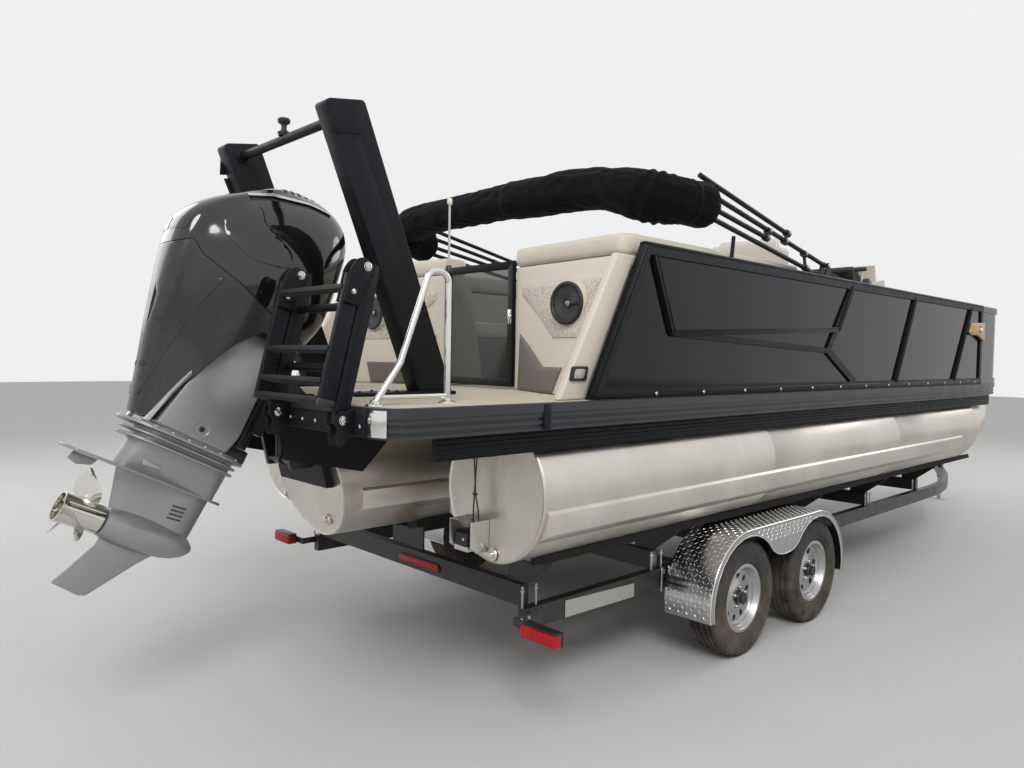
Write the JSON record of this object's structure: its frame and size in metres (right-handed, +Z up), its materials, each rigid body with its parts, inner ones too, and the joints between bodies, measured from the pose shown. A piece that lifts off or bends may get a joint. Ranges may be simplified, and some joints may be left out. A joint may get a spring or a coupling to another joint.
{
  "type": "pontoon boat on trailer",
  "caption": "Triple-log pontoon boat with tow arch, folded bimini, tilting outboard engine, gates and boarding ladder, carried on a tandem-axle bunk trailer.",
  "frame": {"origin": "on the ground, on the centre plane, at the middle of the overall length", "axes": "+X to starboard, +Y to the bow, +Z up"},
  "size_m": [2.624, 10.1193, 2.809],
  "materials": {
    "log_aluminium": "brushed marine aluminium, weathered",
    "bare_aluminium": "mill finish",
    "black_frame": "satin black powder coat",
    "black_panel": "gloss black",
    "vinyl_cream": "marine vinyl",
    "vinyl_taupe": "marine vinyl",
    "deck_vinyl": "woven vinyl flooring",
    "beam_aluminium": "mill finish",
    "rail_trim": "ribbed black moulding over an extrusion",
    "console_shell": "gelcoat",
    "black_plastic": "moulded",
    "polished_steel": "polished stainless steel",
    "boot_fabric": "black woven acrylic canvas",
    "cowl_gloss": "gloss black",
    "engine_metal": "silver grey enamel",
    "engine_black": "satin black",
    "prop_metal": "polished stainless steel",
    "trailer_steel": "black enamel",
    "fender_plate": "bright tread plate",
    "bunk_carpet": "carpet over timber",
    "rim_metal": "machined",
    "tyre_rubber": "sidewall rubber",
    "zinc_steel": "zinc plated",
    "lamp_red": "red lens"
  },
  "bodies": {
    "boat_and_trailer": {"axles": "trailer_steel", "bimini_brackets": "black_frame", "bow_fence_port": "black_frame", "bow_fence_starboard": "black_frame", "bow_lounge_port": "vinyl_cream", "bow_lounge_starboard": "vinyl_cream", "bunks": "bunk_carpet", "clamp_bracket": "engine_black", "coupler": "zinc_steel", "cross_beams": "beam_aluminium", "cross_members": "trailer_steel", "deck": "deck_vinyl", "fence_frame_port": "black_frame", "fence_frame_starboard": "black_frame", "fence_panels": "black_panel", "fender_port": "fender_plate", "fender_starboard": "fender_plate", "grab_hoop": "polished_steel", "helm_console": "console_shell", "jack_tube": "trailer_steel", "ladder_bracket": "black_frame", "log_centre": "log_aluminium", "log_port": "log_aluminium", "log_starboard": "log_aluminium", "rub_rail": "rail_trim", "seat_pedestal": "bare_aluminium", "skirts": "rail_trim", "sounder_leads": "black_plastic", "stern_lounger_port": "vinyl_cream", "stern_lounger_starboard": "vinyl_cream", "tow_arch": "black_frame", "trailer_lamps": "lamp_red", "trailer_rails": "trailer_steel", "transom_pod": "black_frame", "well_plates": "black_frame", "winch_stand": "trailer_steel"},
    "wheel_rear_starboard": {"tyre_rear_starboard": "tyre_rubber", "rim_rear_starboard": "rim_metal"},
    "wheel_rear_port": {"tyre_rear_port": "tyre_rubber", "rim_rear_port": "rim_metal"},
    "wheel_front_starboard": {"tyre_front_starboard": "tyre_rubber", "rim_front_starboard": "rim_metal"},
    "wheel_front_port": {"tyre_front_port": "tyre_rubber", "rim_front_port": "rim_metal"},
    "swivel": {"swivel_bracket": "engine_black"},
    "engine": {"engine_midsection": "engine_metal", "engine_cowl": "cowl_gloss"},
    "prop": {"propeller": "prop_metal"},
    "ladder_lower": {"ladder_inner": "black_frame"},
    "ladder_upper": {"ladder_outer": "black_frame"},
    "gate_stern": {"stern_gate": "black_frame"},
    "gate_bow": {"bow_gate": "black_frame"},
    "gate_side": {"side_gate": "black_frame"},
    "bimini": {"bimini_bows": "black_frame", "bimini_boot": "boot_fabric"},
    "seat": {"helm_seat": "vinyl_cream"},
    "helm": {"helm_wheel": "black_plastic"},
    "jack": {"jack_leg": "zinc_steel"},
    "ram_barrel": {"tilt_cylinder": "engine_black"},
    "ram_rod": {"tilt_rod": "polished_steel"}
  },
  "joints": [
    {"name": "wheel_rear_starboard_spin", "type": "hinge", "parent": "boat_and_trailer", "child": "wheel_rear_starboard", "pos_m": [1.178, -1.866, 0.328], "axis": [1, 0, 0], "continuous": true},
    {"name": "wheel_rear_port_spin", "type": "hinge", "parent": "boat_and_trailer", "child": "wheel_rear_port", "pos_m": [-1.178, -1.866, 0.328], "axis": [1, 0, 0], "continuous": true},
    {"name": "wheel_front_starboard_spin", "type": "hinge", "parent": "boat_and_trailer", "child": "wheel_front_starboard", "pos_m": [1.178, -1.001, 0.328], "axis": [1, 0, 0], "continuous": true},
    {"name": "wheel_front_port_spin", "type": "hinge", "parent": "boat_and_trailer", "child": "wheel_front_port", "pos_m": [-1.178, -1.001, 0.328], "axis": [1, 0, 0], "continuous": true},
    {"name": "engine_tilt", "type": "hinge", "parent": "boat_and_trailer", "child": "swivel", "pos_m": [0, -3.985, 1.45], "axis": [-1, 0, 0], "range_deg": [-31, 20]},
    {"name": "engine_steer", "type": "hinge", "parent": "swivel", "child": "engine", "pos_m": [0, -4.14093, 1.52945], "axis": [0, 0.454, 0.891], "range_deg": [-30, 30]},
    {"name": "propeller_spin", "type": "hinge", "parent": "engine", "child": "prop", "pos_m": [0, -4.95431, 1.0146], "axis": [0, 0.891, -0.454], "continuous": true},
    {"name": "ladder_swing", "type": "hinge", "parent": "boat_and_trailer", "child": "ladder_lower", "pos_m": [0.7925, -4.375, 1.445], "axis": [1, 0, 0], "range_deg": [0, 165]},
    {"name": "ladder_fold", "type": "hinge", "parent": "ladder_lower", "child": "ladder_upper", "pos_m": [0.7925, -4.27505, 2.00299], "axis": [-1, 0, 0], "range_deg": [0, 180]},
    {"name": "stern_gate_hinge", "type": "hinge", "parent": "boat_and_trailer", "child": "gate_stern", "pos_m": [-0.302, -2.783, 1.87], "axis": [0, 0, 1], "range_deg": [0, 90]},
    {"name": "bow_gate_hinge", "type": "hinge", "parent": "boat_and_trailer", "child": "gate_bow", "pos_m": [-0.328, 3.36, 1.87], "axis": [0, 0, -1], "range_deg": [0, 90]},
    {"name": "side_gate_hinge", "type": "hinge", "parent": "boat_and_trailer", "child": "gate_side", "pos_m": [-1.19, -0.291, 1.87], "axis": [0, 0, -1], "range_deg": [0, 90]},
    {"name": "bimini_fold", "type": "hinge", "parent": "boat_and_trailer", "child": "bimini", "pos_m": [0, -0.832, 2.316], "axis": [-1, 0, 0], "range_deg": [0, 75]},
    {"name": "helm_seat_swivel", "type": "hinge", "parent": "boat_and_trailer", "child": "seat", "pos_m": [0.7, -0.685, 1.801], "axis": [0, 0, 1], "range_deg": [-180, 180]},
    {"name": "helm_wheel_spin", "type": "hinge", "parent": "boat_and_trailer", "child": "helm", "pos_m": [0.74, 0.143, 2.195], "axis": [0, -0.8192, 0.5736], "continuous": true},
    {"name": "jack_leg_slide", "type": "slide", "parent": "boat_and_trailer", "child": "jack", "axis": [0, 0, 1], "range_m": [0, 0.25]},
    {"name": "ram_barrel_pivot", "type": "hinge", "parent": "boat_and_trailer", "child": "ram_barrel", "pos_m": [0, -4.07393, 1.165], "axis": [-1, 0, 0], "range_deg": [-3.9, 2.52]},
    {"name": "ram_rod_slide", "type": "slide", "parent": "ram_barrel", "child": "ram_rod", "axis": [0, -0.0112, 0.9999], "range_m": [-0.0515, 0.0335]}
  ],
  "couplings": [
    {"joint": "ram_barrel_pivot", "follows": "engine_tilt", "ratio": 0.124},
    {"joint": "ram_rod_slide", "follows": "engine_tilt", "m_per_rad": 0.095}
  ]
}
